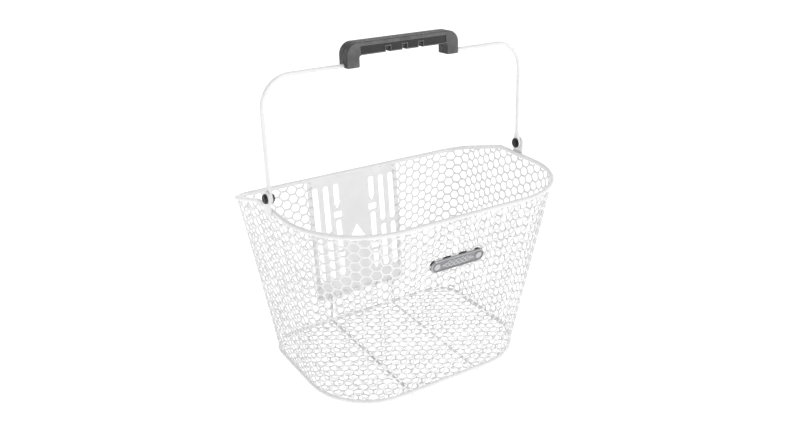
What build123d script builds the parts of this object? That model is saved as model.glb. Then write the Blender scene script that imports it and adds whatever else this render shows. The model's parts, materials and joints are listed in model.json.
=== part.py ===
"""Bicycle basket: a tapered honeycomb-mesh basket on two wire hoops, with a plate for a
handlebar bracket in its back wall and a folding wire bail with a two-piece plastic grip.

Millimetres. +X to the basket's right, +Y to the back (the handlebar side), +Z up.
The origin is on the ground below the middle of the rim.
"""

from build123d import *
import os
from math import atan2, cos, hypot, radians, sin, tan

# ---------------------------------------------------------------- driving dimensions

# top rim: level at the front and sides, sloping down to a lower back stretch
rim_wire = 5.5
rim_half_width = 175.0
rim_half_depth = 127.0
rim_height = 237.5
rim_bend_y = 33.0
rim_slope = 17.0
rim_front_radius = 94.0
rim_bend_radius = 25.0
rim_back_radius = 31.0

# base hoop
base_wire = 5.0
base_height = 5.3
base_half_width = 143.5
base_front_y = -95.0
base_back_y = 103.5
base_front_radius = 80.0
base_back_radius = 36.0

# mesh, as a thin sheet of the same mass
sheet = 0.5
wire_bite = 0.4
floor_inset = 1.5
mesh_strand = 1.5

# support wires under the floor and up the back wall
support_wire = 3.5
support_x = 49.0
support_bend_radius = 6.0
support_offset = 0.3
heel_clearance = 0.3

# plate for the handlebar bracket
plate_width = 137.0
plate_thickness = 1.5
plate_bottom = 32.5
plate_margin = 5.5
wall_cut_depth = 12.0
slot_width = 8.5
outer_slot_columns = (42.5, 58.0)
inner_slot_column = 27.0
outer_slots = ((11.0, 77.0), (82.0, 145.0))
cross_slots = ((49.0, 58.0), (108.0, 114.0))
cross_slot_width = 13.0
pointed_slots = ((11.0, 46.0), (117.0, 146.0))
plain_slot = (61.0, 105.0)
slot_corner = 3.0
window_apex = 72.0
window_base = 97.0
window_half_width = 15.0

# bail pivots
pivot_y = 1.0
pivot_height = 252.0
strap_width = 17.0
strap_thickness = 2.0
strap_drop = 19.5
strap_top = 8.5
shank_radius = 2.5
shank_clearance = 0.06
screw_head_radius = 5.6
screw_head_height = 3.4
eye_radius = 6.2
eye_thickness = 3.0
side_play = 0.1
inner_washer_thickness = 1.0
washer_radius = 6.4
nut_across_flats = 8.0
shank_overhang = 0.4
nut_height = 2.4

# bail
bail_wire_size = 4.5
bail_lean = 3.0
bail_reach = 132.8
bail_half_width = 175.5
bail_corner_radius = 35.0
eye_neck = 15.0

# grip
grip_length = 150.0
grip_depth = 19.0
grip_gap = 1.4
grip_top = 25.0
grip_bar_bottom = 10.5
grip_foot_bottom = -2.6
grip_foot_length = 16.0
grip_corner_radius = 14.0
grip_wall = 2.2
grip_edge_radius = 1.2
finger_pitch = 22.0
finger_width = 5.5
finger_height = 6.0
panel_depth = 0.7
panel_border = 1.2
panel_top = 4.2
rib_thickness = 3.0
rib_height = 9.0
rib_steps = (-2, -1, 0, 1, 2)
finger_steps = (-1, 0, 1)

# badge
badge_length = 72.0
badge_width = 15.0
badge_thickness = 2.4
badge_height = 178.0
badge_x = -7.0
badge_border = 1.3
badge_field_depth = 0.7
badge_chamfer = 0.5
badge_fastener_spacing = 57.0
back_plate_length = 72.0
back_plate_width = 15.0
back_plate_thickness = 1.0
rivet_radius = 1.5
rivet_hole_radius = 1.6
rivet_head_radius = 4.2
rivet_head_height = 1.1
rivet_tail_radius = 2.6
rivet_tail_height = 1.0

# ---------------------------------------------------------------- derived geometry

rim_back_height = rim_height - tan(radians(rim_slope)) * (rim_half_depth - rim_bend_y)
front_lean = atan2(-rim_half_depth - base_front_y, rim_height - base_height)
back_lean = atan2(rim_half_depth - base_back_y, rim_back_height - base_height)
back_wall_length = hypot(rim_half_depth - base_back_y, rim_back_height - base_height)
plate_top = back_wall_length - 0.45 * rim_wire
plate_face = -mesh_strand / 2

# wall planes: origin on the base hoop, local X along the wall, local Y up it,
# local Z towards the front of the basket
front_wall = Plane(
    origin=(0, base_front_y, base_height),
    x_dir=(1, 0, 0),
    z_dir=(0, -cos(front_lean), sin(front_lean)),
)
back_wall = Plane(
    origin=(0, base_back_y, base_height),
    x_dir=(1, 0, 0),
    z_dir=(0, -cos(back_lean), sin(back_lean)),
)

# the badge's two fasteners on the front wall
badge_spots = [
    (badge_x - badge_fastener_spacing / 2, badge_height),
    (badge_x + badge_fastener_spacing / 2, badge_height),
]

# the bail's own plane: origin on the pivot axis, local Y up the bail, local Z forwards
lean = radians(bail_lean)
bail_plane = Plane(
    origin=(0, pivot_y, pivot_height),
    x_dir=(1, 0, 0),
    z_dir=(0, -cos(lean), sin(lean)),
)

# the pivot stack, from the strap inwards, as distances from the middle of the basket
strap_inside = rim_half_width + rim_wire / 2
strap_outside = strap_inside + strap_thickness
eye_outside = bail_half_width + eye_thickness / 2
eye_inside = bail_half_width - eye_thickness / 2
inner_washer_outside = eye_inside - side_play
inner_washer_inside = inner_washer_outside - inner_washer_thickness
nut_inside = inner_washer_inside - nut_height
shank_end = nut_inside - shank_overhang

sides = {"left": -1, "right": 1}
os.makedirs("parts", exist_ok=True)


def save(builder, name):
    """Label a finished piece and write it to its own file."""
    builder.part.label = name
    export_step(builder.part, f"parts/{name}.step")


def half_ring(points, radii, wire):
    """A closed hoop: half of it swept from the front to the back, then mirrored."""
    with BuildPart() as ring:
        with BuildLine() as path:
            FilletPolyline(*points, radius=radii)
        with BuildSketch(Plane(origin=path.wire() @ 0, z_dir=path.wire() % 0)):
            Circle(wire / 2)
        sweep(path=path.wire())
        mirror(about=Plane.YZ)
    return ring


def wall_outline(height, inset):
    """The basket's outline at a height: half width, front, back and corner radii."""
    share = (height - base_height) / (rim_height - base_height)
    back_share = (height - base_height) * tan(back_lean)
    half_width = base_half_width + share * (rim_half_width - base_half_width) - inset
    front = base_front_y - share * (rim_half_depth + base_front_y) + inset
    back = base_back_y + back_share - inset
    front_radius = base_front_radius + share * (rim_front_radius - base_front_radius) - inset
    back_radius = base_back_radius + share * (rim_back_radius - base_back_radius) - inset
    return half_width, front, back, front_radius, back_radius


def outline_sketch(height, inset):
    """The basket's outline at a height, drawn in by an inset all round."""
    half_width, front, back, front_radius, back_radius = wall_outline(height, inset)
    with BuildSketch(Plane.XY.offset(height)) as outline:
        with BuildLine():
            FilletPolyline(
                (-half_width, front),
                (half_width, front),
                (half_width, back),
                (-half_width, back),
                radius=[front_radius, front_radius, back_radius, back_radius],
                close=True,
            )
        make_face()
    return outline.sketch


def side_plane(side, distance):
    """A plane across the pivot axis at a distance out, facing outwards."""
    return Plane(
        origin=(side * distance, pivot_y, pivot_height),
        x_dir=(0, side, 0),
        z_dir=(side, 0, 0),
    )


def bail_side_plane(side, distance):
    """The same, turned with the leaning bail, so that local Y runs up its leg."""
    return Plane(
        origin=(side * distance, pivot_y, pivot_height),
        x_dir=(0, side * cos(lean), -side * sin(lean)),
        z_dir=(side, 0, 0),
    )


# ---------------------------------------------------------------- hoops

top_rim = half_ring(
    points=[
        (0, -rim_half_depth, rim_height),
        (rim_half_width, -rim_half_depth, rim_height),
        (rim_half_width, rim_bend_y, rim_height),
        (rim_half_width, rim_half_depth, rim_back_height),
        (0, rim_half_depth, rim_back_height),
    ],
    radii=[rim_front_radius, rim_bend_radius, rim_back_radius],
    wire=rim_wire,
)
save(top_rim, "top_rim")

base_ring = half_ring(
    points=[
        (0, base_front_y, base_height),
        (base_half_width, base_front_y, base_height),
        (base_half_width, base_back_y, base_height),
        (0, base_back_y, base_height),
    ],
    radii=[base_front_radius, base_back_radius],
    wire=base_wire,
)
save(base_ring, "base_ring")

# ---------------------------------------------------------------- mesh wall and floor

wall_foot = base_height + base_wire / 2 - wire_bite
cut_level = rim_height - rim_wire / 2 + wire_bite
cut_reach = 400.0

with BuildPart() as wall_mesh:
    outside = [outline_sketch(height, -sheet / 2) for height in (wall_foot, rim_height)]
    inside = [outline_sketch(height, sheet / 2) for height in (wall_foot, rim_height)]
    loft(outside, ruled=True)
    loft(inside, ruled=True, mode=Mode.SUBTRACT)
    # everything above the underside of the rim, which slopes down at the back
    with BuildSketch(Plane.YZ):
        with BuildLine():
            Polyline(
                (-cut_reach, cut_level),
                (rim_bend_y, cut_level),
                (cut_reach, cut_level - tan(radians(rim_slope)) * (cut_reach - rim_bend_y)),
                (cut_reach, cut_reach),
                (-cut_reach, cut_reach),
                close=True,
            )
        make_face()
    extrude(amount=cut_reach, both=True, mode=Mode.SUBTRACT)
    # the opening that the bracket plate fills from behind
    with BuildSketch(back_wall):
        with Locations((0, plate_bottom + plate_margin)):
            Rectangle(
                plate_width - 2 * plate_margin,
                back_wall_length,
                align=(Align.CENTER, Align.MIN),
            )
    extrude(amount=wall_cut_depth, both=True, mode=Mode.SUBTRACT)
    # clearance for the badge's two fasteners
    with BuildSketch(front_wall):
        with Locations(*badge_spots):
            Circle(rivet_radius + 0.3)
    extrude(amount=wall_cut_depth, both=True, mode=Mode.SUBTRACT)
save(wall_mesh, "wall_mesh")

with BuildPart() as floor_mesh:
    extrude(outline_sketch(support_wire, floor_inset), amount=sheet)
save(floor_mesh, "floor_mesh")

# ---------------------------------------------------------------- bracket plate

with BuildPart() as mount_plate:
    with BuildSketch(back_wall.offset(plate_face)):
        with Locations((0, (plate_top + plate_bottom) / 2)):
            RectangleRounded(plate_width, plate_top - plate_bottom, 4)
        with Locations((0, plate_top - 8)):
            Rectangle(plate_width, 16)
        # long slots in the outer columns, and short cross slots in the inner ones
        for column in outer_slot_columns:
            for start, end in outer_slots:
                middle = plate_top - (start + end) / 2
                with Locations((-column, middle), (column, middle)):
                    SlotOverall(end - start, slot_width, rotation=90, mode=Mode.SUBTRACT)
        for start, end in cross_slots:
            middle = plate_top - (start + end) / 2
            with Locations((-inner_slot_column, middle), (inner_slot_column, middle)):
                RectangleRounded(cross_slot_width, end - start, 2, mode=Mode.SUBTRACT)
        # between the cross slots of the inner columns: pointed slot, plain slot, pointed slot
        for x in (-inner_slot_column, inner_slot_column):
            for start, end in pointed_slots:
                with BuildLine():
                    FilletPolyline(
                        (x - slot_width / 2, plate_top - start),
                        (x + slot_width / 2, plate_top - start),
                        (x + slot_width / 2, plate_top - end + slot_width),
                        (x, plate_top - end),
                        (x - slot_width / 2, plate_top - end + slot_width),
                        radius=[slot_corner, slot_corner, 1.5, 1, 1.5],
                        close=True,
                    )
                make_face(mode=Mode.SUBTRACT)
            start, end = plain_slot
            with Locations((x, plate_top - (start + end) / 2)):
                SlotOverall(end - start, slot_width, rotation=90, mode=Mode.SUBTRACT)
        # three-cornered window in the middle
        with BuildLine():
            FilletPolyline(
                (-window_half_width, plate_top - window_base),
                (window_half_width, plate_top - window_base),
                (0, plate_top - window_apex),
                radius=1.5,
                close=True,
            )
        make_face(mode=Mode.SUBTRACT)
    extrude(amount=-plate_thickness)
save(mount_plate, "mount_plate")

# ---------------------------------------------------------------- support wires

# each wire starts under the plate's lower edge, runs down behind the base hoop and forwards
# below it and below the floor
wire_top = back_wall.from_local_coords((0, plate_bottom + wire_bite, -support_offset))
wire_heel_y = base_back_y + base_wire / 2 + support_wire / 2 + heel_clearance

for name, side in sides.items():
    with BuildPart() as support:
        with BuildLine() as path:
            FilletPolyline(
                (side * support_x, wire_top.Y, wire_top.Z),
                (side * support_x, wire_heel_y, support_wire / 2),
                (side * support_x, base_front_y - wire_bite, support_wire / 2),
                radius=[support_bend_radius],
            )
        with BuildSketch(Plane(origin=path.wire() @ 0, z_dir=path.wire() % 0)):
            Circle(support_wire / 2)
        sweep(path=path.wire())
    save(support, f"{name}_support_wire")

# ---------------------------------------------------------------- bail pivots

for name, side in sides.items():
    with BuildPart() as strap:
        with BuildSketch(side_plane(side, strap_inside)):
            with Locations((0, (strap_top - strap_width / 2 - strap_drop) / 2)):
                Rectangle(strap_width, strap_drop + strap_top - strap_width / 2)
            with Locations((0, strap_top - strap_width / 2)):
                Circle(strap_width / 2)
            Circle(shank_radius + 2 * shank_clearance, mode=Mode.SUBTRACT)
        extrude(amount=strap_thickness)
        outer_face = strap.faces().filter_by(Axis.X).sort_by(Axis.X)[-1 if side > 0 else 0]
        fillet(outer_face.outer_wire().edges().filter_by(GeomType.LINE).filter_by(Axis.Y), 0.6)
    save(strap, f"{name}_pivot_strap")

    with BuildPart() as screw:
        with BuildSketch(side_plane(side, shank_end)):
            Circle(shank_radius)
        extrude(amount=strap_outside - shank_end)
        chamfer(screw.edges().sort_by(Axis.X)[0 if side > 0 else -1], 0.6)
        with BuildSketch(side_plane(side, strap_outside)):
            Circle(screw_head_radius)
        extrude(amount=screw_head_height)
        rim_edge = screw.edges().filter_by(GeomType.CIRCLE).sort_by(Axis.X)[-1 if side > 0 else 0]
        fillet(rim_edge, screw_head_height * 0.7)
        # cross recess
        with BuildSketch(side_plane(side, strap_outside + screw_head_height)):
            Rectangle(5.6, 1.3)
            Rectangle(1.3, 5.6)
            Circle(1.4)
        extrude(amount=-1.9, mode=Mode.SUBTRACT)
    save(screw, f"{name}_pivot_screw")

    with BuildPart() as spacer:
        with BuildSketch(side_plane(side, eye_outside + side_play)):
            Circle(washer_radius)
            Circle(shank_radius + 0.15, mode=Mode.SUBTRACT)
        extrude(amount=strap_inside - eye_outside - side_play)
    save(spacer, f"{name}_pivot_spacer")

    with BuildPart() as washer:
        with BuildSketch(side_plane(side, inner_washer_inside)):
            Circle(washer_radius)
            Circle(shank_radius + 0.15, mode=Mode.SUBTRACT)
        extrude(amount=inner_washer_thickness)
    save(washer, f"{name}_pivot_washer")

    with BuildPart() as nut:
        with BuildSketch(side_plane(side, nut_inside)):
            RegularPolygon(nut_across_flats / 2, 6, major_radius=False)
            Circle(shank_radius + shank_clearance, mode=Mode.SUBTRACT)
        extrude(amount=nut_height)
        inner_face = nut.faces().filter_by(Axis.X).sort_by(Axis.X)[0 if side > 0 else -1]
        chamfer(inner_face.outer_wire().edges(), 0.5)
    save(nut, f"{name}_pivot_nut")

# ---------------------------------------------------------------- bail

grip_half = grip_length / 2
wire_in_grip = (grip_bar_bottom + grip_top) / 2
wire_rise_x = grip_half - grip_foot_length / 2
wire_rise_radius = 5.0
bail_points = [
    (-bail_half_width, eye_neck - 5),
    (-bail_half_width, bail_reach),
    (-wire_rise_x, bail_reach),
    (-wire_rise_x, bail_reach + wire_in_grip),
    (wire_rise_x, bail_reach + wire_in_grip),
    (wire_rise_x, bail_reach),
    (bail_half_width, bail_reach),
    (bail_half_width, eye_neck - 5),
]
rise_radii = 4 * [wire_rise_radius]
bail_radii = [bail_corner_radius, *rise_radii, bail_corner_radius]


def bail_run(radius):
    """A round bar of this radius along the whole bail."""
    with BuildPart() as run:
        with BuildLine(bail_plane) as path:
            FilletPolyline(*bail_points, radius=bail_radii)
        with BuildSketch(Plane(origin=path.wire() @ 0, z_dir=path.wire() % 0)):
            Circle(radius)
        sweep(path=path.wire())
    return run.part


with BuildPart() as bail_wire:
    add(bail_run(bail_wire_size / 2))
    # each end of the wire is flattened into a teardrop eye round its screw
    for side in sides.values():
        with BuildSketch(bail_side_plane(side, eye_inside)):
            Circle(eye_radius)
            with BuildLine():
                Polyline(
                    (-eye_radius * 0.92, 2.4),
                    (-bail_wire_size / 2, eye_neck),
                    (bail_wire_size / 2, eye_neck),
                    (eye_radius * 0.92, 2.4),
                    close=True,
                )
            make_face()
        extrude(amount=eye_thickness)
    for side in sides.values():
        with BuildSketch(bail_side_plane(side, eye_inside)):
            Circle(shank_radius + shank_clearance)
        extrude(amount=eye_thickness, mode=Mode.SUBTRACT)
save(bail_wire, "bail_wire")

# ---------------------------------------------------------------- grip

grip_low = bail_reach + grip_foot_bottom
grip_bar = bail_reach + grip_bar_bottom
grip_high = bail_reach + grip_top
foot_inside = grip_half - grip_foot_length
rib_middle = grip_high - grip_wall - rib_height / 2 + wire_bite


def grip_outline(inset):
    """Side view of the grip, a bar on two feet, drawn in by an inset all round."""
    top_radius = grip_corner_radius - inset
    with BuildSketch() as outline:
        with BuildLine():
            FilletPolyline(
                (-grip_half + inset, grip_low + inset),
                (-foot_inside - inset, grip_low + inset),
                (-foot_inside - inset, grip_bar + inset),
                (foot_inside + inset, grip_bar + inset),
                (foot_inside + inset, grip_low + inset),
                (grip_half - inset, grip_low + inset),
                (grip_half - inset, grip_high - inset),
                (-grip_half + inset, grip_high - inset),
                radius=[1.5, 1.5, 3, 3, 1.5, 1.5, top_radius, top_radius],
                close=True,
            )
        make_face()
    return outline.sketch


grip_sides = {"grip_front_half": 1, "grip_rear_half": -1}
for name, side in grip_sides.items():
    facing = side * grip_gap / 2
    depth = side * (grip_depth - grip_gap) / 2
    with BuildPart() as grip:
        with BuildSketch(bail_plane.offset(facing)):
            add(grip_outline(0))
            # three notches for the fingers
            with Locations(*[(step * finger_pitch, grip_bar) for step in finger_steps]):
                Rectangle(finger_width, 2 * finger_height, mode=Mode.SUBTRACT)
        extrude(amount=depth)
        outer = grip.faces().sort_by(Axis.Y)[0 if side > 0 else -1]
        fillet(outer.outer_wire().edges(), grip_edge_radius)
        # the shell's hollow
        with BuildSketch(bail_plane.offset(facing)):
            add(grip_outline(grip_wall))
            with Locations(*[(step * finger_pitch, grip_bar) for step in finger_steps]):
                Rectangle(
                    finger_width + 2 * grip_wall,
                    2 * (finger_height + grip_wall),
                    mode=Mode.SUBTRACT,
                )
        extrude(amount=depth - side * grip_wall, mode=Mode.SUBTRACT)
        # ribs that hold the wire and meet the other half's ribs in the middle
        with BuildSketch(bail_plane):
            with Locations(*[(step * finger_pitch, rib_middle) for step in rib_steps]):
                Rectangle(rib_thickness, rib_height)
        extrude(amount=facing + depth - side * grip_wall)
        # shallow panel in the outside face
        with BuildSketch(bail_plane.offset(facing + depth)):
            with Locations((0, (grip_bar + panel_border + grip_high - panel_top) / 2)):
                Rectangle(
                    2 * (foot_inside - panel_border),
                    grip_high - panel_top - grip_bar - panel_border,
                )
            with Locations(*[(step * finger_pitch, grip_bar) for step in finger_steps]):
                Rectangle(
                    finger_width + 2 * panel_border,
                    2 * (finger_height + panel_border),
                    mode=Mode.SUBTRACT,
                )
        extrude(amount=-side * panel_depth, mode=Mode.SUBTRACT)
        # room for the wire
        add(bail_run(bail_wire_size / 2 + 0.1), mode=Mode.SUBTRACT)
    save(grip, name)

# ---------------------------------------------------------------- badge

badge_plane = front_wall.offset(mesh_strand / 2)
back_plate_plane = front_wall.offset(-mesh_strand / 2)

with BuildPart() as badge:
    with BuildSketch(badge_plane):
        with Locations((badge_x, badge_height)):
            SlotOverall(badge_length, badge_width)
        with Locations(*badge_spots):
            Circle(rivet_hole_radius, mode=Mode.SUBTRACT)
    extrude(amount=badge_thickness)
    badge_front = badge.faces().sort_by(Axis.Y)[0]
    chamfer(badge_front.outer_wire().edges(), badge_chamfer)
    # a sunk field inside a raised border
    with BuildSketch(badge_plane.offset(badge_thickness)):
        with Locations((badge_x, badge_height)):
            SlotOverall(badge_length - 2 * badge_border, badge_width - 2 * badge_border)
    extrude(amount=-badge_field_depth, mode=Mode.SUBTRACT)
save(badge, "badge")

with BuildPart() as badge_back_plate:
    with BuildSketch(back_plate_plane):
        with Locations((badge_x, badge_height)):
            SlotOverall(back_plate_length, back_plate_width)
        with Locations(*badge_spots):
            Circle(rivet_hole_radius, mode=Mode.SUBTRACT)
    extrude(amount=-back_plate_thickness)
save(badge_back_plate, "badge_back_plate")

# two rivets, from a domed head on the badge to a washer head behind the back plate
with BuildPart() as badge_rivets:
    with BuildSketch(badge_plane.offset(badge_thickness - badge_field_depth)):
        with Locations(*badge_spots):
            Circle(rivet_head_radius)
    extrude(amount=rivet_head_height)
    heads = badge_rivets.edges().filter_by(GeomType.CIRCLE).group_by(Axis.Y)[0]
    fillet(heads, rivet_head_height * 0.8)
    with BuildSketch(back_plate_plane.offset(-back_plate_thickness - rivet_tail_height)):
        with Locations(*badge_spots):
            Circle(rivet_radius)
    extrude(
        amount=rivet_tail_height
        + back_plate_thickness
        + mesh_strand
        + badge_thickness
        - badge_field_depth
    )
    with BuildSketch(back_plate_plane.offset(-back_plate_thickness)):
        with Locations(*badge_spots):
            Circle(rivet_tail_radius)
    extrude(amount=-rivet_tail_height)
save(badge_rivets, "badge_rivets")
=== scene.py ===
import json
import random
from math import atan2, ceil, cos, pi, radians, sin, tan

import bmesh
import bpy
from mathutils import Euler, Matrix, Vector, noise


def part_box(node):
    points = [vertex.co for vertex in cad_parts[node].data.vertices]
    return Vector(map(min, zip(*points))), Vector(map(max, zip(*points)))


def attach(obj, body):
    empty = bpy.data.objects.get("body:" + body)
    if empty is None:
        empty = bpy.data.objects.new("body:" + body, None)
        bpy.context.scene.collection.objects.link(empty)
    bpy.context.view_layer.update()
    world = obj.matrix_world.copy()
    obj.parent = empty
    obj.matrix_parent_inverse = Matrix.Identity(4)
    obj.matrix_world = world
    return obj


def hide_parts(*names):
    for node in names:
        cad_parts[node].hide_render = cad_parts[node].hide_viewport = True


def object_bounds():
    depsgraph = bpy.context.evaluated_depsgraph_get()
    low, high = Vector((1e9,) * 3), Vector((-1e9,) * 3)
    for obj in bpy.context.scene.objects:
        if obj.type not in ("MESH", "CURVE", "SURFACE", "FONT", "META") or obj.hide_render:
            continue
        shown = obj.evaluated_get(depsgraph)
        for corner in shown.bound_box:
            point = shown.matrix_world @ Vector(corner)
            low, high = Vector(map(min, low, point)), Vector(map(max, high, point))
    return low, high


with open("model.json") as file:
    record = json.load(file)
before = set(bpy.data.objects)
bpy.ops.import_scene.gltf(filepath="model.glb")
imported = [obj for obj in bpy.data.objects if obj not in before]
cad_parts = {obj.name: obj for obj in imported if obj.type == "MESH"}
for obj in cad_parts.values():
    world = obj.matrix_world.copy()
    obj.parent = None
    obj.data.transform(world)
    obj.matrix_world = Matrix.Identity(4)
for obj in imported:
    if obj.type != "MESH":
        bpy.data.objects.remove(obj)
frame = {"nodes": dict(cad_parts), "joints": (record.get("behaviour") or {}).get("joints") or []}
cad_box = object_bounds()

# ---------------------------------------------------------------- sizes, in metres

# the two hoops: wire thickness, and corner radii at the front and the back
RIM_WIRE = 0.0055
RIM_SLOPE = radians(17)
RIM_BEND_Y = 0.033
RIM_RADII = (0.094, 0.031)
BASE_WIRE = 0.005
BASE_RADII = (0.080, 0.036)

# the honeycomb: cells round the wall and up it, and the column spacing as a share of the row spacing
COLUMNS = 96
ROWS = 19
CELL_PITCH = 0.012
COLUMN_SPACING = 0.866
SEED = 7

# its holes: their reach towards the corners, their height as a share of their width, their spread in size
HOLE_RADIUS = 0.0053
HOLE_CORNERS = 0.055
HOLE_BOND = 0.95
HOLE_SPREAD = 0.02
EDGE_STEPS = 3

# its strands: the place of their back between cell edge and hole, and their thickness at edge, back and hole
STRAND = 0.0015
STRAND_BACK = 0.52
STRAND_WEIGHTS = (1.0, 0.92, 0.45)

# how far the sheets wander from their true surface, and the floor's height and clipped corners
SHEET_WOBBLE = 0.00035
FLOOR_WOBBLE = 0.3 * SHEET_WOBBLE
WOBBLE_SCALE = 38.0
FLOOR_HEIGHT = 0.0042
CORNER_CUTS = 8

# the window in the back wall that the bracket plate fills, and how far round it the strands are cut
WINDOW_MARGIN = 0.0055
WINDOW_REACH = 0.02
BACK_WALL_Y = 0.09

# the badge: its outline, its border, the field sunk inside it and the paint on that
BADGE_LENGTH = 0.072
BADGE_HEIGHT = 0.015
BADGE_THICKNESS = 0.0024
BADGE_BORDER = 0.0015
BADGE_SUNK = 0.0007
BADGE_FIELD = BADGE_THICKNESS / 2 - BADGE_SUNK
PAINT = 0.00008

# the bail's lean, and the distances from its plane between which the grip turns from near black to grey
# the grey is painted light on the grip's two outer faces, the near black painted shade in its panels, gap
# and sides
BAIL_LEAN = radians(3)
GRIP_PAINTED_SHADE_TO = 0.0089
GRIP_PAINTED_LIGHT_FROM = 0.0093

rim_low, rim_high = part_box("top_rim")
base_low, base_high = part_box("base_ring")
plate_low, plate_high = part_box("mount_plate")
badge_low, badge_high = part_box("badge")
rim_height = rim_high.z - RIM_WIRE / 2
base_height = base_high.z - BASE_WIRE / 2


# ---------------------------------------------------------------- outlines of the two hoops


def hoop(low, high, wire, radii):
    """The centreline of a hoop seen from above, as half width, front, back and corner radii."""
    return high.x - wire / 2, low.y + wire / 2, high.y - wire / 2, radii[0], radii[1]


rim_hoop = hoop(rim_low, rim_high, RIM_WIRE, RIM_RADII)
base_hoop = hoop(base_low, base_high, BASE_WIRE, BASE_RADII)


def along(outline, share):
    """The point a share of the way round an outline, anticlockwise from the middle of its front."""
    half_width, front, back, front_radius, back_radius = outline
    side = 1 if share >= 0 else -1
    runs = (
        half_width - front_radius,
        front_radius * pi / 2,
        back - front - front_radius - back_radius,
        back_radius * pi / 2,
        half_width - back_radius,
    )
    left = abs(share) * 2 * sum(runs)
    run = 0
    while run < 4 and left > runs[run]:
        left -= runs[run]
        run += 1
    if run == 0:
        x, y = left, front
    elif run == 1:
        turn = left / front_radius
        x = half_width - front_radius + front_radius * sin(turn)
        y = front + front_radius - front_radius * cos(turn)
    elif run == 2:
        x, y = half_width, front + front_radius + left
    elif run == 3:
        turn = left / back_radius
        x = half_width - back_radius + back_radius * cos(turn)
        y = back - back_radius + back_radius * sin(turn)
    else:
        x, y = half_width - back_radius - left, back
    return Vector((side * x, y))


def rim_level(y):
    """The height of the rim's centreline, which slopes down behind the bend."""
    return rim_height - tan(RIM_SLOPE) * max(0, y - RIM_BEND_Y)


def on_wall(share, height):
    """The point of the mesh wall a share of the way round, at a height."""
    foot = along(base_hoop, share)
    top = along(rim_hoop, share)
    rise = (height - base_height) / (rim_level(top.y) - base_height)
    spot = foot.lerp(top, rise)
    return Vector((spot.x, spot.y, height))


# ---------------------------------------------------------------- honeycomb


def basket_piece(sheet, name, smooth=False):
    """Make a finished sheet into one visible piece that rides on the basket."""
    mesh = bpy.data.meshes.new(name)
    sheet.to_mesh(mesh)
    sheet.free()
    for face in mesh.polygons:
        face.use_smooth = smooth
    piece = bpy.data.objects.new(name, mesh)
    bpy.context.scene.collection.objects.link(piece)
    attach(piece, "basket")
    return piece


def cell_rings(centre, column_step, row_step, swell):
    """Three rings of points round one hole: the cell's edge, the strand's back and the hole's edge."""
    corners = [
        Vector((x * column_step, y * row_step, 0))
        for x, y in ((2 / 3, 0), (1 / 3, 0.5), (-1 / 3, 0.5), (-2 / 3, 0), (-1 / 3, -0.5), (1 / 3, -0.5))
    ]
    edge, back, hole = [], [], []
    for n, corner in enumerate(corners):
        for step in range(EDGE_STEPS):
            out = corner.lerp(corners[(n + 1) % len(corners)], step / EDGE_STEPS)
            angle = atan2(out.y, out.x)
            radius = HOLE_RADIUS * swell * (1 + HOLE_CORNERS * cos(6 * angle))
            inner = Vector((cos(angle), sin(angle) * HOLE_BOND, 0)) * radius * row_step / CELL_PITCH
            edge.append(centre + out)
            back.append(centre + out.lerp(inner, STRAND_BACK))
            hole.append(centre + inner)
    return edge, back, hole


def honeycomb(columns, rows, column_step, row_step, seed):
    """A flat sheet of six-sided holes, odd columns half a row up, with a thickness weight at each point."""
    sheet = bmesh.new()
    weights = sheet.verts.layers.deform.verify()
    draw = random.Random(seed)
    for column in columns:
        for row in rows:
            centre = Vector((column * column_step, (row + 0.5 * (column % 2)) * row_step, 0))
            swell = draw.uniform(1 - HOLE_SPREAD, 1 + HOLE_SPREAD)
            rings = []
            for ring, weight in zip(cell_rings(centre, column_step, row_step, swell), STRAND_WEIGHTS):
                made = [sheet.verts.new(point) for point in ring]
                for vert in made:
                    vert[weights][0] = weight
                rings.append(made)
            for outer, inner in zip(rings, rings[1:]):
                for n in range(len(outer)):
                    m = (n + 1) % len(outer)
                    sheet.faces.new((outer[n], outer[m], inner[m], inner[n]))
    bmesh.ops.remove_doubles(sheet, verts=sheet.verts, dist=1e-5)
    return sheet


def cut(sheet, point, outward, faces=None, clear=True):
    """Cut a sheet along a plane, and drop what lies outside it unless clear is false."""
    chosen = sheet.faces[:] if faces is None else faces
    edges = dict.fromkeys(edge for face in chosen for edge in face.edges)
    verts = dict.fromkeys(vert for face in chosen for vert in face.verts)
    bmesh.ops.bisect_plane(
        sheet,
        geom=[*verts, *edges, *chosen],
        dist=1e-6,
        plane_co=point,
        plane_no=outward,
        clear_outer=clear,
    )


def strands(sheet, name, node):
    """Thicken a sheet of holes into rounded strands, shown in place of a CAD node."""
    piece = basket_piece(sheet, name, smooth=True)
    piece.vertex_groups.new(name="strand")
    body = piece.modifiers.new("strand", "SOLIDIFY")
    body.thickness = STRAND
    body.offset = 0
    body.use_rim = True
    body.vertex_group = "strand"
    body.thickness_vertex_group = 0.0
    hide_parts(node)
    return piece


def wall_half(name, side, seed):
    """Half of the mesh wall, from the middle of the front round one side to the middle of the back."""
    row_step = (rim_height - base_height) / ROWS
    half = COLUMNS // 2
    column_step = COLUMN_SPACING * row_step
    columns = range(-1, half + 2) if side > 0 else range(-half - 1, 2)
    sheet = honeycomb(columns, range(-1, ROWS + 1), column_step, row_step, seed)
    cut(sheet, (0, 0, 0), (-side, 0, 0))
    cut(sheet, (side * half * column_step, 0, 0), (side, 0, 0))
    for vert in sheet.verts:
        share = vert.co.x / (COLUMNS * column_step)
        spot = on_wall(min(max(share, -0.5), 0.5), base_height + vert.co.y)
        vert.co = spot + noise.noise_vector(spot * WOBBLE_SCALE) * SHEET_WOBBLE
    cut(sheet, (0, 0, base_height), (0, 0, -1))
    cut(sheet, (0, 0, rim_height), (0, 0, 1))
    cut(sheet, (0, RIM_BEND_Y, rim_height), (0, sin(RIM_SLOPE), cos(RIM_SLOPE)))
    open_window(sheet, side)
    return strands(sheet, name, "wall_mesh")


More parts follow.
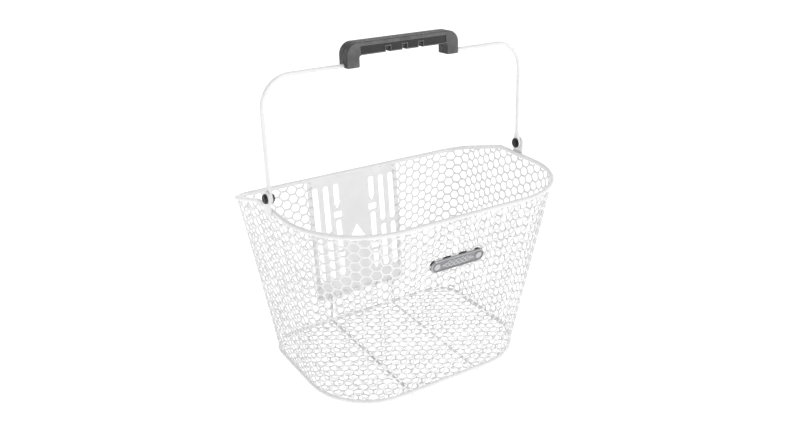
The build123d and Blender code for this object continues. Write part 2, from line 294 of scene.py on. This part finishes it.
def open_window(sheet, side):
    """Drop the strands that the bracket plate stands in for."""
    edge = plate_high.x - WINDOW_MARGIN
    foot = plate_low.z + WINDOW_MARGIN

    def near():
        """The faces in and round the window."""
        found = []
        for face in sheet.faces:
            spot = face.calc_center_median()
            beside = abs(spot.x) < edge + WINDOW_REACH
            if spot.y > BACK_WALL_Y and beside and spot.z > foot - WINDOW_REACH:
                found.append(face)
        return found

    cut(sheet, (side * edge, 0, 0), (side, 0, 0), near(), clear=False)
    cut(sheet, (0, 0, foot), (0, 0, 1), near(), clear=False)
    inside = []
    for face in near():
        spot = face.calc_center_median()
        if abs(spot.x) < edge and spot.z > foot:
            inside.append(face)
    bmesh.ops.delete(sheet, geom=inside, context="FACES")


def floor_strands(name, seed):
    """The mesh floor, clipped to the centreline of the base hoop."""
    half_width, front, back, front_radius, back_radius = base_hoop
    column_step = COLUMN_SPACING * CELL_PITCH
    reach_x = ceil(half_width / column_step) + 1
    rows = range(int(front // CELL_PITCH) - 1, ceil(back / CELL_PITCH) + 2)
    sheet = honeycomb(range(-reach_x, reach_x + 1), rows, column_step, CELL_PITCH, seed)
    cut(sheet, (0, front, 0), (0, -1, 0))
    cut(sheet, (0, back, 0), (0, 1, 0))
    for side in (-1, 1):
        cut(sheet, (side * half_width, 0, 0), (side, 0, 0))
        for radius, end, level in ((front_radius, -1, front), (back_radius, 1, back)):
            centre = Vector((side * (half_width - radius), level - end * radius, 0))
            for step in range(1, CORNER_CUTS):
                turn = pi / 2 * step / CORNER_CUTS
                outward = Vector((side * cos(turn), end * sin(turn), 0))
                cut(sheet, centre + outward * radius, outward)
    for vert in sheet.verts:
        vert.co.z = FLOOR_HEIGHT + noise.noise(vert.co * WOBBLE_SCALE) * FLOOR_WOBBLE
    return strands(sheet, name, "floor_mesh")


# without a seed, noise_vector would take its offsets from the clock
noise.seed_set(SEED)
wall_pieces = [wall_half("wall_strands_right", 1, SEED), wall_half("wall_strands_left", -1, SEED + 1)]
floor_piece = floor_strands("floor_strands", SEED + 2)


# ---------------------------------------------------------------- weld beads

# how lumpy a bead is, the scale of its lumps, and a step that makes each bead's lumps its own
BEAD_LUMP = 0.22
BEAD_LUMP_SCALE = 1.7
BEAD_APART = 3.1

# half sizes of a bead along x, y and z
STRAP_BEAD = (0.0016, 0.0026, 0.0015)
PLATE_BEAD = (0.0042, 0.0021, 0.0014)
FRONT_BEAD = (0.0026, 0.0022, 0.0014)
HEEL_BEAD = (0.0023, 0.0012, 0.0020)
TOP_BEAD = (0.0024, 0.0012, 0.0016)

# where the beads are: in from an edge, down from a height, or out from a surface
STRAP_BEAD_INSET = 0.002
RIM_BEAD_IN = 0.0008
RIM_BEAD_DOWN = 0.0022
PLATE_BEADS_X = (-0.064, -0.030, 0.030, 0.064)
PLATE_BEAD_OUT = 0.0002
PLATE_BEAD_DOWN = 0.0026
FRONT_BEAD_IN = 0.0028
FRONT_BEAD_HEIGHT = 0.0033
HEEL_BEAD_OUT = 0.0002
TOP_BEAD_IN = 0.0030
TOP_BEAD_DOWN = 0.0002


def bead(sheet, spot, size, seed):
    """One small uneven lump of weld under the coating."""
    made = bmesh.ops.create_icosphere(sheet, subdivisions=3, radius=1.0)["verts"]
    for vert in made:
        lump = 1 + BEAD_LUMP * noise.noise(vert.co * BEAD_LUMP_SCALE + Vector((seed * BEAD_APART, seed, 0)))
        stretched = Vector((vert.co.x * size[0], vert.co.y * size[1], vert.co.z * size[2]))
        vert.co = Vector(spot) + stretched * lump


def weld_beads():
    """The beads where the straps, the plate and the support wires are joined, as one piece."""
    spots = []
    strap_low, strap_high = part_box("right_pivot_strap")
    for side in (-1, 1):
        for y in (strap_low.y + STRAP_BEAD_INSET, strap_high.y - STRAP_BEAD_INSET):
            x = side * (rim_high.x - RIM_BEAD_IN)
            spots.append(((x, y, rim_height - RIM_BEAD_DOWN), STRAP_BEAD))
    back_y = rim_high.y - RIM_WIRE / 2
    for x in PLATE_BEADS_X:
        spots.append(((x, back_y + PLATE_BEAD_OUT, rim_level(back_y) - PLATE_BEAD_DOWN), PLATE_BEAD))
    for node in ("left_support_wire", "right_support_wire"):
        low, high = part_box(node)
        x = (low.x + high.x) / 2
        spots.append(((x, base_low.y + FRONT_BEAD_IN, FRONT_BEAD_HEIGHT), FRONT_BEAD))
        spots.append(((x, base_high.y + HEEL_BEAD_OUT, base_height), HEEL_BEAD))
        spots.append(((x, high.y - TOP_BEAD_IN, high.z - TOP_BEAD_DOWN), TOP_BEAD))
    sheet = bmesh.new()
    for n, (spot, size) in enumerate(spots):
        bead(sheet, spot, size, n)
    return basket_piece(sheet, "weld_beads", smooth=True)


bead_piece = weld_beads()


# ---------------------------------------------------------------- badge

# the plait: half its length, half its height, and the share of its length that each end takes to open out
PLAIT_STRANDS = 3
PLAIT_STEPS = 72
PLAIT_REACH = 0.0220
PLAIT_HEIGHT = 0.0034
PLAIT_TURNS = 5 * pi
PLAIT_END = 0.2

# one band of the plait: half its width, its flat top as a share of that, its height and how much that varies
BAND = 0.0010
BAND_TOP = 0.6
BAND_RISE = 0.0006
BAND_WAVE = 0.28
BAND_ROOT = 0.0003

CAP_STEPS = 24

front_lean = atan2(rim_hoop[1] - base_hoop[1], rim_height - base_height)
badge_middle = (badge_low + badge_high) / 2


def on_badge(across, up, level):
    """A point of the badge: along it, up it, and out from the middle of its thickness."""
    upward = Vector((0, sin(front_lean), cos(front_lean)))
    outward = Vector((0, -cos(front_lean), sin(front_lean)))
    return badge_middle + Vector((1, 0, 0)) * across + upward * up + outward * level


def close_tube(sheet, rings):
    """Join rings of points into a closed tube with flat ends."""
    for here, there in zip(rings, rings[1:]):
        for n in range(len(here)):
            m = (n + 1) % len(here)
            sheet.faces.new((here[n], here[m], there[m], there[n]))
    sheet.faces.new(rings[0])
    sheet.faces.new(reversed(rings[-1]))


def badge_relief():
    """A raised plait of three waves on the badge's sunk field."""
    sheet = bmesh.new()
    foot = BADGE_FIELD - BAND_ROOT
    for strand in range(PLAIT_STRANDS):
        rows = []
        for n in range(PLAIT_STEPS + 1):
            share = n / PLAIT_STEPS
            angle = share * PLAIT_TURNS + strand * 2 * pi / PLAIT_STRANDS
            x = (2 * share - 1) * PLAIT_REACH
            fade = min(1, share / PLAIT_END, (1 - share) / PLAIT_END)
            centre = PLAIT_HEIGHT * fade * sin(angle)
            top = BADGE_FIELD + BAND_RISE * (1 - BAND_WAVE + BAND_WAVE * sin(2 * angle))
            slope = PLAIT_HEIGHT * cos(angle) * PLAIT_TURNS / (2 * PLAIT_REACH)
            tilt = Vector((-slope, 1)).normalized()
            section = ((-BAND, foot), (-BAND * BAND_TOP, top), (BAND * BAND_TOP, top), (BAND, foot))
            row = []
            for across, level in section:
                row.append(sheet.verts.new(on_badge(x + across * tilt.x, centre + across * tilt.y, level)))
            rows.append(row)
        close_tube(sheet, rows)
    bmesh.ops.recalc_face_normals(sheet, faces=sheet.faces)
    return basket_piece(sheet, "badge_relief")


def badge_paint():
    """A thin layer of dark paint over the badge's sunk field."""
    radius = BADGE_HEIGHT / 2 - BADGE_BORDER
    half_length = BADGE_LENGTH / 2 - BADGE_BORDER - radius
    sheet = bmesh.new()
    rings = []
    for level in (BADGE_FIELD, BADGE_FIELD + PAINT):
        ring = []
        for side in (1, -1):
            for step in range(CAP_STEPS + 1):
                turn = pi * (step / CAP_STEPS - 0.5)
                across = side * (half_length + radius * cos(turn))
                ring.append(sheet.verts.new(on_badge(across, side * radius * sin(turn), level)))
        rings.append(ring)
    close_tube(sheet, rings)
    bmesh.ops.recalc_face_normals(sheet, faces=sheet.faces)
    return basket_piece(sheet, "badge_paint")


relief_piece = badge_relief()
paint_piece = badge_paint()


# ---------------------------------------------------------------- materials


class Nodes:
    """A material's node tree, with the few calls that the materials below share."""

    def __init__(self, name, roughness, metallic=0.0):
        self.material = bpy.data.materials.new(name)
        self.material.use_nodes = True
        self.tree = self.material.node_tree
        self.shader = self.tree.nodes["Principled BSDF"]
        self.shader.inputs["Roughness"].default_value = roughness
        self.shader.inputs["Metallic"].default_value = metallic
        self.place = self.tree.nodes.new("ShaderNodeTexCoord").outputs["Object"]

    def link(self, source, target):
        self.tree.links.new(source, target)

    def stretch(self, scale):
        """Object coordinates, stretched along each axis."""
        mapping = self.tree.nodes.new("ShaderNodeMapping")
        mapping.inputs["Scale"].default_value = scale
        self.link(self.place, mapping.inputs["Vector"])
        return mapping.outputs["Vector"]

    def grain(self, scale, detail=3.0, rough=0.5, place=None):
        """Noise of a scale, in cells to the metre."""
        texture = self.tree.nodes.new("ShaderNodeTexNoise")
        texture.inputs["Scale"].default_value = scale
        texture.inputs["Detail"].default_value = detail
        texture.inputs["Roughness"].default_value = rough
        self.link(place or self.place, texture.inputs["Vector"])
        return texture.outputs["Fac"]

    def ramp(self, value, low, high, start, end):
        """A value taken from between low and high to between start and end."""
        node = self.tree.nodes.new("ShaderNodeMapRange")
        node.inputs["From Min"].default_value = low
        node.inputs["From Max"].default_value = high
        node.inputs["To Min"].default_value = start
        node.inputs["To Max"].default_value = end
        self.link(value, node.inputs["Value"])
        return node.outputs["Result"]

    def blend(self, share, first, second):
        """A colour between two others."""
        node = self.tree.nodes.new("ShaderNodeMix")
        node.data_type = "RGBA"
        self.link(share, node.inputs["Factor"])
        for slot, colour in ((6, first), (7, second)):
            if isinstance(colour, tuple):
                node.inputs[slot].default_value = (*colour, 1)
            else:
                self.link(colour, node.inputs[slot])
        return node.outputs[2]

    def rounded(self, radius):
        """How near a point is to a sharp edge, from 0 well away to 1 on it."""
        soft = self.tree.nodes.new("ShaderNodeBevel")
        soft.samples = 6
        soft.inputs["Radius"].default_value = radius
        sharp = self.tree.nodes.new("ShaderNodeNewGeometry")
        same = self.tree.nodes.new("ShaderNodeVectorMath")
        same.operation = "DOT_PRODUCT"
        self.link(soft.outputs["Normal"], same.inputs[0])
        self.link(sharp.outputs["Normal"], same.inputs[1])
        return self.ramp(same.outputs["Value"], 0.99, 0.80, 0, 1)

    def depth(self, point, outward):
        """How far a point is from a plane, on either side."""
        away = self.tree.nodes.new("ShaderNodeVectorMath")
        away.operation = "SUBTRACT"
        away.inputs[1].default_value = point
        self.link(self.place, away.inputs[0])
        along_it = self.tree.nodes.new("ShaderNodeVectorMath")
        along_it.operation = "DOT_PRODUCT"
        along_it.inputs[1].default_value = outward
        self.link(away.outputs["Vector"], along_it.inputs[0])
        size = self.tree.nodes.new("ShaderNodeMath")
        size.operation = "ABSOLUTE"
        self.link(along_it.outputs["Value"], size.inputs[0])
        return size.outputs["Value"]

    def mottle(self, grain, first, second, low=0.3, high=0.7):
        """A colour that wanders between two others with a grain."""
        return self.blend(self.ramp(grain, low, high, 0, 1), first, second)

    def colour(self, value):
        self.link(value, self.shader.inputs["Base Color"])

    def gloss(self, grain, start, end, low=0.3, high=0.7):
        """Roughness that wanders between start and end with a grain."""
        self.link(self.ramp(grain, low, high, start, end), self.shader.inputs["Roughness"])

    def bump(self, height, strength, distance, under=None):
        """Fine relief. Under is a coarser relief that this one adds to."""
        node = self.tree.nodes.new("ShaderNodeBump")
        node.inputs["Strength"].default_value = strength
        node.inputs["Distance"].default_value = distance
        self.link(height, node.inputs["Height"])
        if under is not None:
            self.link(under, node.inputs["Normal"])
        self.link(node.outputs["Normal"], self.shader.inputs["Normal"])
        return node.outputs["Normal"]


def grey(level, blue=0.0):
    """A grey, with a little more or less blue in it."""
    return level, level, level + blue


def moulded_grain(made, strength, fine_strength):
    """The spark-eroded texture of a moulded face, coarse and fine."""
    coarse = made.bump(made.grain(900, 3, 0.6), strength, 0.00016)
    made.bump(made.grain(2600, 2, 0.7), fine_strength, 0.00006, coarse)


def powder_coat(name, light, dark, roughness, peel):
    """White powder coat with fine orange peel, and slightly uneven in colour and gloss."""
    made = Nodes(name, roughness)
    made.colour(made.mottle(made.grain(32, 4), dark, light, 0.35, 0.65))
    made.gloss(made.grain(140, 3), roughness - 0.07, roughness + 0.10)
    coarse = made.bump(made.grain(420, 2), peel, 0.00012)
    made.bump(made.grain(1900, 2), peel * 0.5, 0.00004, coarse)
    made.shader.inputs["Coat Weight"].default_value = 0.25
    made.shader.inputs["Coat Roughness"].default_value = 0.18
    return made.material


def moulded_plastic(name, light, dark, worn, roughness):
    """Spark-textured plastic, rubbed lighter along its edges."""
    made = Nodes(name, roughness)
    body = made.mottle(made.grain(60, 5), dark, light, 0.35, 0.65)
    made.colour(made.blend(made.rounded(0.0005), body, worn))
    made.gloss(made.grain(300, 4), roughness - 0.08, roughness + 0.12)
    moulded_grain(made, 0.45, 0.35)
    return made.material


def grip_plastic(name):
    """The grip's plastic: painted light, grey, on its two outer faces, and painted shade, near black, in its
    panels, gap and sides, with painted highlights along its edges.
    """
    made = Nodes(name, 0.44)
    pivot = frame["joints"][0]["pos_m"]
    depth = made.depth(pivot, (0, -cos(BAIL_LEAN), sin(BAIL_LEAN)))
    # face is painted light: the grey of the outer faces, lit from the front
    face = made.mottle(made.grain(70, 5), grey(0.070, 0.003), grey(0.125, 0.004))
    # sunk is painted shade: the near black of the panels, the gap between the halves and the sides
    sunk = made.mottle(made.grain(70, 5), grey(0.008, 0.001), grey(0.020, 0.001))
    # body picks painted shade or painted light by the distance from the bail's plane
    body = made.blend(made.ramp(depth, GRIP_PAINTED_SHADE_TO, GRIP_PAINTED_LIGHT_FROM, 0, 1), sunk, face)
    # the edges are painted a lighter grey, a painted highlight along them
    made.colour(made.blend(made.rounded(0.0006), body, grey(0.30, 0.01)))
    made.gloss(made.grain(300, 4), 0.36, 0.58)
    moulded_grain(made, 0.40, 0.30)
    return made.material


def brushed_metal(name, light, dark, roughness, stretch):
    """Metal whose colour, gloss and finest relief follow one grain, stretched along the axes."""
    made = Nodes(name, roughness, metallic=1.0)
    lines = made.grain(1.0, 4, 0.7, made.stretch(stretch))
    made.colour(made.mottle(lines, dark, light))
    made.gloss(lines, roughness - 0.08, roughness + 0.12, 0.25, 0.75)
    coarse = made.bump(made.grain(260, 3), 0.12, 0.00010)
    made.bump(lines, 0.35, 0.00005, coarse)
    return made.material


def black_oxide(name, light, dark, worn):
    """Dark chemical finish on steel, with bright rubbed edges."""
    made = Nodes(name, 0.34, metallic=0.25)
    body = made.mottle(made.grain(420, 4), dark, light, 0.35, 0.65)
    made.colour(made.blend(made.rounded(0.0004), body, worn))
    made.gloss(made.grain(700, 3), 0.24, 0.46)
    made.bump(made.grain(1500, 3), 0.3, 0.00005)
    return made.material


def painted_black(name):
    """Plain black paint with a light dusting."""
    made = Nodes(name, 0.42)
    made.colour(made.mottle(made.grain(180, 5), grey(0.012, 0.001), grey(0.05), 0.4, 0.8))
    made.gloss(made.grain(500, 3), 0.35, 0.55)
    made.bump(made.grain(1200, 2), 0.3, 0.00006)
    return made.material


BADGE_LINES = (60, 1600, 1600)
RIVET_GRAIN = (900, 900, 900)

materials = {
    "white_wire": powder_coat("white_wire", grey(0.83), grey(0.79), 0.30, 0.25),
    "white_mesh": powder_coat("white_mesh", grey(0.82), grey(0.75), 0.34, 0.30),
    "plate": powder_coat("plate", grey(0.83), grey(0.79), 0.42, 0.22),
    "grip": grip_plastic("grip"),
    "dark_screws": black_oxide("dark_screws", grey(0.014, 0.001), grey(0.005), grey(0.20, 0.01)),
    "nylon": moulded_plastic("nylon", grey(0.70, -0.02), grey(0.62, -0.02), grey(0.78, -0.02), 0.44),
    "badge": brushed_metal("badge", grey(0.50, 0.01), grey(0.34, 0.01), 0.30, BADGE_LINES),
    "rivets": brushed_metal("rivets", grey(0.62, 0.01), grey(0.40, 0.02), 0.28, RIVET_GRAIN),
    "badge_backing": painted_black("badge_backing"),
}
badge_field = brushed_metal("badge_field", grey(0.36, 0.01), grey(0.22, 0.01), 0.45, BADGE_LINES)
# the support wires' coat is painted darker than the white wire, as painted shade for the shadow they lie in
# behind and under the mesh
support_painted_shade = powder_coat("support_painted_shade", grey(0.76), grey(0.58), 0.36, 0.30)


def finish_with(piece, material):
    piece.data.materials.clear()
    piece.data.materials.append(material)


def slot_of(node):
    """The material slot of a CAD node, told by its name."""
    for words, slot in (
        (("screw", "washer", "nut"), "dark_screws"),
        (("spacer",), "nylon"),
        (("grip",), "grip"),
        (("rivets",), "rivets"),
        (("back_plate",), "badge_backing"),
        (("badge",), "badge"),
        (("plate",), "plate"),
    ):
        if any(word in node for word in words):
            return slot
    return "white_wire"


for node, piece in frame["nodes"].items():
    finish_with(piece, materials[slot_of(node)])
# the support wires get the darker grey of painted shade
for node in ("left_support_wire", "right_support_wire"):
    finish_with(frame["nodes"][node], support_painted_shade)
for piece in (*wall_pieces, floor_piece):
    finish_with(piece, materials["white_mesh"])
finish_with(bead_piece, materials["white_wire"])
finish_with(relief_piece, materials["rivets"])
finish_with(paint_piece, badge_field)


# ---------------------------------------------------------------- floor, lights and camera

FLOOR_RINGS = (0.5, 4.0, 13.0)
FLOOR_BEND = 2.0
WALL_TOP = 6.5
BEND_STEPS = 8
FLOOR_SIDES = 64
FLOOR_GLOW = 0.80
WORLD_GLOW = 0.42

CAMERA_PLACE = (-0.5084, -0.7840, 0.6006)
CAMERA_PITCH = radians(66.244)
CAMERA_TURN = radians(-32.649)
CAMERA_LENS = 37.29
CAMERA_SENSOR = 36


def studio_floor():
    """A round white floor that curves up into a round white wall."""
    reach = FLOOR_RINGS[-1]
    profile = [(distance, 0) for distance in FLOOR_RINGS]
    for step in range(1, BEND_STEPS + 1):
        turn = pi / 2 * step / BEND_STEPS
        profile.append((reach + FLOOR_BEND * sin(turn), FLOOR_BEND * (1 - cos(turn))))
    profile.append((reach + FLOOR_BEND, WALL_TOP))
    verts = [(0, 0, 0)]
    faces = []
    for distance, height in profile:
        for n in range(FLOOR_SIDES):
            turn = 2 * pi * n / FLOOR_SIDES
            verts.append((distance * cos(turn), distance * sin(turn), height))
    for n in range(FLOOR_SIDES):
        m = (n + 1) % FLOOR_SIDES
        faces.append((0, 1 + n, 1 + m))
        for ring in range(len(profile) - 1):
            low = 1 + ring * FLOOR_SIDES
            high = low + FLOOR_SIDES
            faces.append((low + n, high + n, high + m, low + m))
    mesh = bpy.data.meshes.new("studio_floor")
    mesh.from_pydata(verts, [], faces)
    for face in mesh.polygons:
        face.use_smooth = True
    piece = bpy.data.objects.new("studio_floor", mesh)
    bpy.context.scene.collection.objects.link(piece)
    made = Nodes("studio_floor", 0.9)
    made.colour(made.blend(made.grain(3, 2), grey(0.50), grey(0.54)))
    made.shader.inputs["Specular IOR Level"].default_value = 0.1
    made.shader.inputs["Emission Color"].default_value = (1, 1, 1, 1)
    made.shader.inputs["Emission Strength"].default_value = FLOOR_GLOW
    finish_with(piece, made.material)


def softbox(name, spot, aim, size, power):
    """A square soft light at a place, turned to a point."""
    data = bpy.data.lights.new(name, "AREA")
    data.size = size
    data.energy = power
    lamp = bpy.data.objects.new(name, data)
    bpy.context.scene.collection.objects.link(lamp)
    lamp.location = spot
    lamp.rotation_euler = (Vector(aim) - Vector(spot)).to_track_quat("-Z", "Y").to_euler()


def white_world():
    """An even white light from all round."""
    world = bpy.data.worlds.new("studio")
    bpy.context.scene.world = world
    world.use_nodes = True
    background = world.node_tree.nodes["Background"]
    background.inputs["Color"].default_value = (1, 1, 1, 1)
    background.inputs["Strength"].default_value = WORLD_GLOW


def main_camera():
    """The camera of the main view."""
    data = bpy.data.cameras.new("camera")
    data.lens = CAMERA_LENS
    data.sensor_width = CAMERA_SENSOR
    camera = bpy.data.objects.new("camera", data)
    bpy.context.scene.collection.objects.link(camera)
    camera.location = CAMERA_PLACE
    camera.rotation_euler = Euler((CAMERA_PITCH, 0, CAMERA_TURN))
    bpy.context.scene.camera = camera


studio_floor()
middle = (cad_box[0] + cad_box[1]) / 2
softbox("key", (0.6, -2.1, 1.8), middle, size=1.2, power=13)
softbox("fill", (1.9, -0.3, 1.2), middle, size=1.6, power=4)
softbox("top", (0.2, 0.9, 2.4), middle, size=1.4, power=10)
white_world()
main_camera()
bpy.context.scene.view_settings.view_transform = "Standard"
